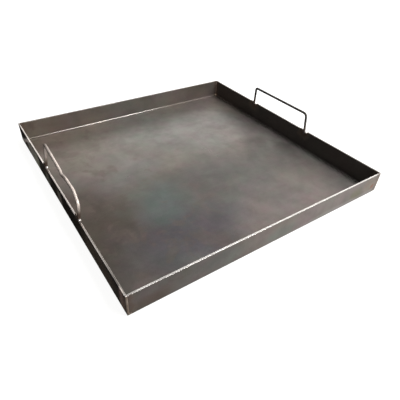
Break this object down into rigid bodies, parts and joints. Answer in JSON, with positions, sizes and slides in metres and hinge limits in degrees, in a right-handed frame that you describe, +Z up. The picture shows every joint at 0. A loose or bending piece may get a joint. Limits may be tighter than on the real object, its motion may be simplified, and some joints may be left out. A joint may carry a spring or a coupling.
{
  "type": "griddle pan",
  "caption": "Square sheet-steel griddle tray with folded walls, welded corners and two bar handles welded to the rim, set over a burner, grill or stove.",
  "frame": {"origin": "centre of the underside", "axes": "+X towards the right handle, +Y towards the back, +Z up out of the tray"},
  "size_m": [0.61, 0.61, 0.103],
  "materials": {
    "pan_steel": "bare carbon steel sheet with dark mottled mill scale, half gloss",
    "corner_weld": "ground weld with brown heat tint",
    "handle_steel": "bare round bar, dark with worn bright tops",
    "foot_weld": "rippled weld metal with brown and blue heat tint"
  },
  "bodies": {
    "root": {"pan": "pan_steel", "left_handle": "handle_steel", "right_handle": "handle_steel", "corner_weld_front_left": "corner_weld", "corner_weld_front_right": "corner_weld", "corner_weld_back_right": "corner_weld", "corner_weld_back_left": "corner_weld", "left_back_foot_long_weld": "foot_weld", "left_back_foot_short_weld": "foot_weld", "left_front_foot_long_weld": "foot_weld", "left_front_foot_short_weld": "foot_weld", "right_back_foot_long_weld": "foot_weld", "right_back_foot_short_weld": "foot_weld", "right_front_foot_long_weld": "foot_weld", "right_front_foot_short_weld": "foot_weld"}
  },
  "joints": []
}
